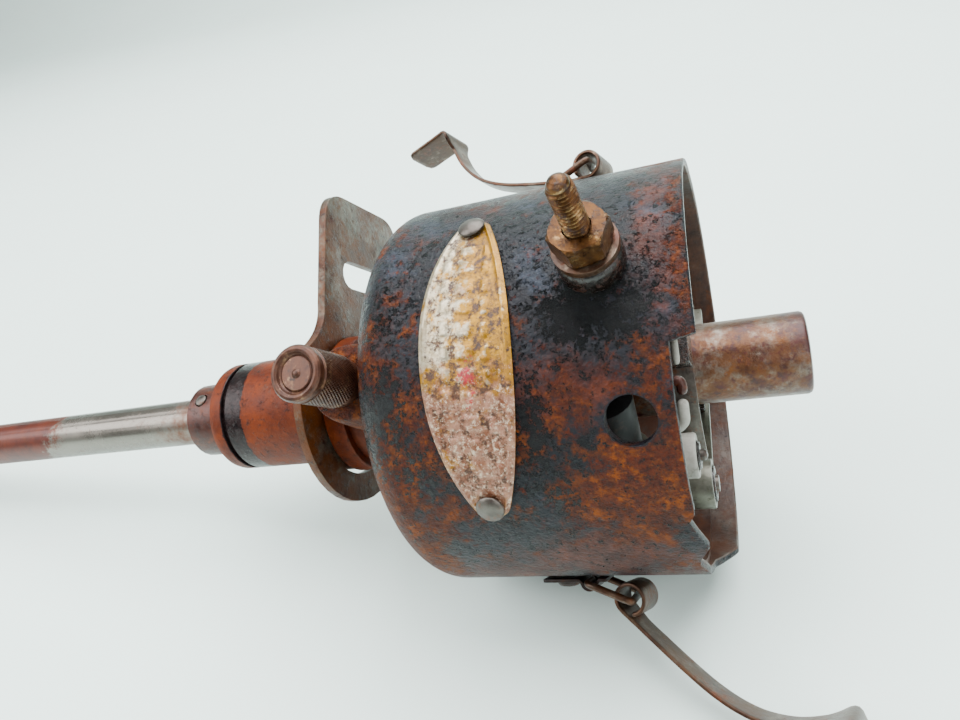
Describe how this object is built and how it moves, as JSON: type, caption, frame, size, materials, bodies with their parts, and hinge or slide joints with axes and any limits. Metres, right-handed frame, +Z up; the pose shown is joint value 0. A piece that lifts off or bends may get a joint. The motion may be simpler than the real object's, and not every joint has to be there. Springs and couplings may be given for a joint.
{
  "type": "ignition distributor without cap or rotor",
  "caption": "Old automotive ignition distributor lying on its side without its cap: round bowl with breaker parts, long drive shaft, two sprung cap clips and an advance plate.",
  "frame": {"origin": "centre of the underside of the bounding box, on the surface it lies on", "axes": "+Z up; +X the long way, from the free end of the drive shaft towards the open mouth of the bowl; +Y away from the side with the nameplate"},
  "size_m": [0.3672, 0.1232, 0.1058],
  "materials": {
    "enamelled_iron": "worn black enamel over rusting cast iron",
    "bearing_bronze": "oiled bearing bronze",
    "plate_brass": "tarnished and rust-stained brass",
    "bare_steel": "dull bare steel",
    "worn_shaft_steel": "turned steel with rust in patches",
    "cup_bronze": "browned bronze, knurled",
    "terminal_bronze": "browned bronze",
    "black_fibre": "dark pressed fibre",
    "spring_steel": "browned spring steel",
    "rusty_steel": "rusted steel",
    "plated_steel": "dull zinc plating",
    "felt": "oil-soaked felt",
    "lead_rubber": "aged rubber and cloth"
  },
  "bodies": {
    "housing": {"housing": "enamelled_iron", "upper_bushing": "bearing_bronze", "lower_bushing": "bearing_bronze", "nameplate": "plate_brass", "nameplate_rivet_upper": "bare_steel", "nameplate_rivet_lower": "bare_steel", "grease_cup_stem": "cup_bronze", "terminal_insulator_outer": "black_fibre", "terminal_insulator_inner": "black_fibre", "terminal_lock_washer": "spring_steel", "terminal_nut": "terminal_bronze", "terminal_stud": "terminal_bronze", "upper_clip_bail": "spring_steel", "upper_clip_bracket": "rusty_steel", "upper_clip_rivet": "bare_steel", "lower_clip_bail": "spring_steel", "lower_clip_bracket": "rusty_steel", "lower_clip_rivet": "bare_steel", "plate_retaining_ring": "rusty_steel", "breaker_plate": "bare_steel", "breaker_plate_screw_1": "bare_steel", "breaker_plate_screw_2": "bare_steel", "breaker_plate_screw_3": "bare_steel", "breaker_pivot_post": "bare_steel", "fixed_contact": "bare_steel", "contact_bracket": "plated_steel", "contact_lock_screw": "bare_steel", "breaker_spring": "spring_steel", "spring_post": "black_fibre", "condenser": "plated_steel", "condenser_strap": "plated_steel", "condenser_screw": "bare_steel", "primary_lead": "lead_rubber", "condenser_lead": "lead_rubber"},
    "drive": {"drive_shaft": "worn_shaft_steel", "thrust_collar": "rusty_steel", "collar_pin": "bare_steel", "thrust_washer": "black_fibre", "governor_plate": "bare_steel", "weight_pin_1": "bare_steel", "weight_pin_2": "bare_steel", "spring_peg_1": "bare_steel", "spring_peg_2": "bare_steel", "governor_spring_1": "spring_steel", "governor_spring_2": "spring_steel"},
    "cam": {"cam_sleeve": "worn_shaft_steel", "oil_wick": "felt"},
    "weight_1": {"governor_weight_1": "bare_steel"},
    "weight_2": {"governor_weight_2": "bare_steel"},
    "breaker": {"breaker_arm": "plated_steel", "breaker_arm_bush": "black_fibre", "rubbing_block": "black_fibre", "moving_contact": "bare_steel"},
    "upper_clip": {"upper_clip": "spring_steel"},
    "lower_clip": {"lower_clip": "spring_steel"},
    "grease_cap": {"grease_cup_cap": "cup_bronze"},
    "advance_plate": {"advance_plate": "rusty_steel"}
  },
  "joints": [
    {"name": "shaft_spin", "type": "hinge", "parent": "housing", "child": "drive", "pos_m": [0.1544, 0.00359, 0.04932], "axis": [0.9919, 0, 0.1272], "continuous": true},
    {"name": "cam_advance", "type": "hinge", "parent": "drive", "child": "cam", "pos_m": [0.1544, 0.00359, 0.04932], "axis": [0.9919, 0, 0.1272], "range_deg": [0, 11], "stiffness_Nm_per_rad": 0.4},
    {"name": "weight_1_swing", "type": "hinge", "parent": "drive", "child": "weight_1", "pos_m": [0.10505, -0.013, 0.05678], "axis": [-0.9919, 0, -0.1272], "range_deg": [0, 14]},
    {"name": "weight_2_swing", "type": "hinge", "parent": "drive", "child": "weight_2", "pos_m": [0.10853, 0.02018, 0.02964], "axis": [-0.9919, 0, -0.1272], "range_deg": [0, 14]},
    {"name": "breaker_arm_swing", "type": "hinge", "parent": "housing", "child": "breaker", "pos_m": [0.15137, -0.01625, 0.03359], "axis": [-0.9919, 0, -0.1272], "range_deg": [0, 5], "stiffness_Nm_per_rad": 0.5},
    {"name": "upper_clip_swing", "type": "hinge", "parent": "housing", "child": "upper_clip", "pos_m": [0.12914, 0.03753, 0.08016], "axis": [-0.2944, -0.6903, 0.6609], "range_deg": [-174, 0]},
    {"name": "lower_clip_swing", "type": "hinge", "parent": "housing", "child": "lower_clip", "pos_m": [0.13799, -0.02985, 0.01363], "axis": [0.2944, 0.6903, -0.6609], "range_deg": [-51.5, 120]},
    {"name": "grease_cap_turn", "type": "hinge", "parent": "housing", "child": "grease_cap", "pos_m": [0.08012, -0.02419, 0.06881], "axis": [-0.0915, -0.6945, 0.7136], "range_deg": [-180, 180]},
    {"name": "plate_turn", "type": "hinge", "parent": "housing", "child": "advance_plate", "pos_m": [0.1544, 0.00359, 0.04932], "axis": [0.9919, 0, 0.1272], "range_deg": [-15, 15]}
  ],
  "couplings": [
    {"joint": "weight_1_swing", "follows": "cam_advance", "ratio": 1.25},
    {"joint": "weight_2_swing", "follows": "cam_advance", "ratio": 1.25}
  ]
}
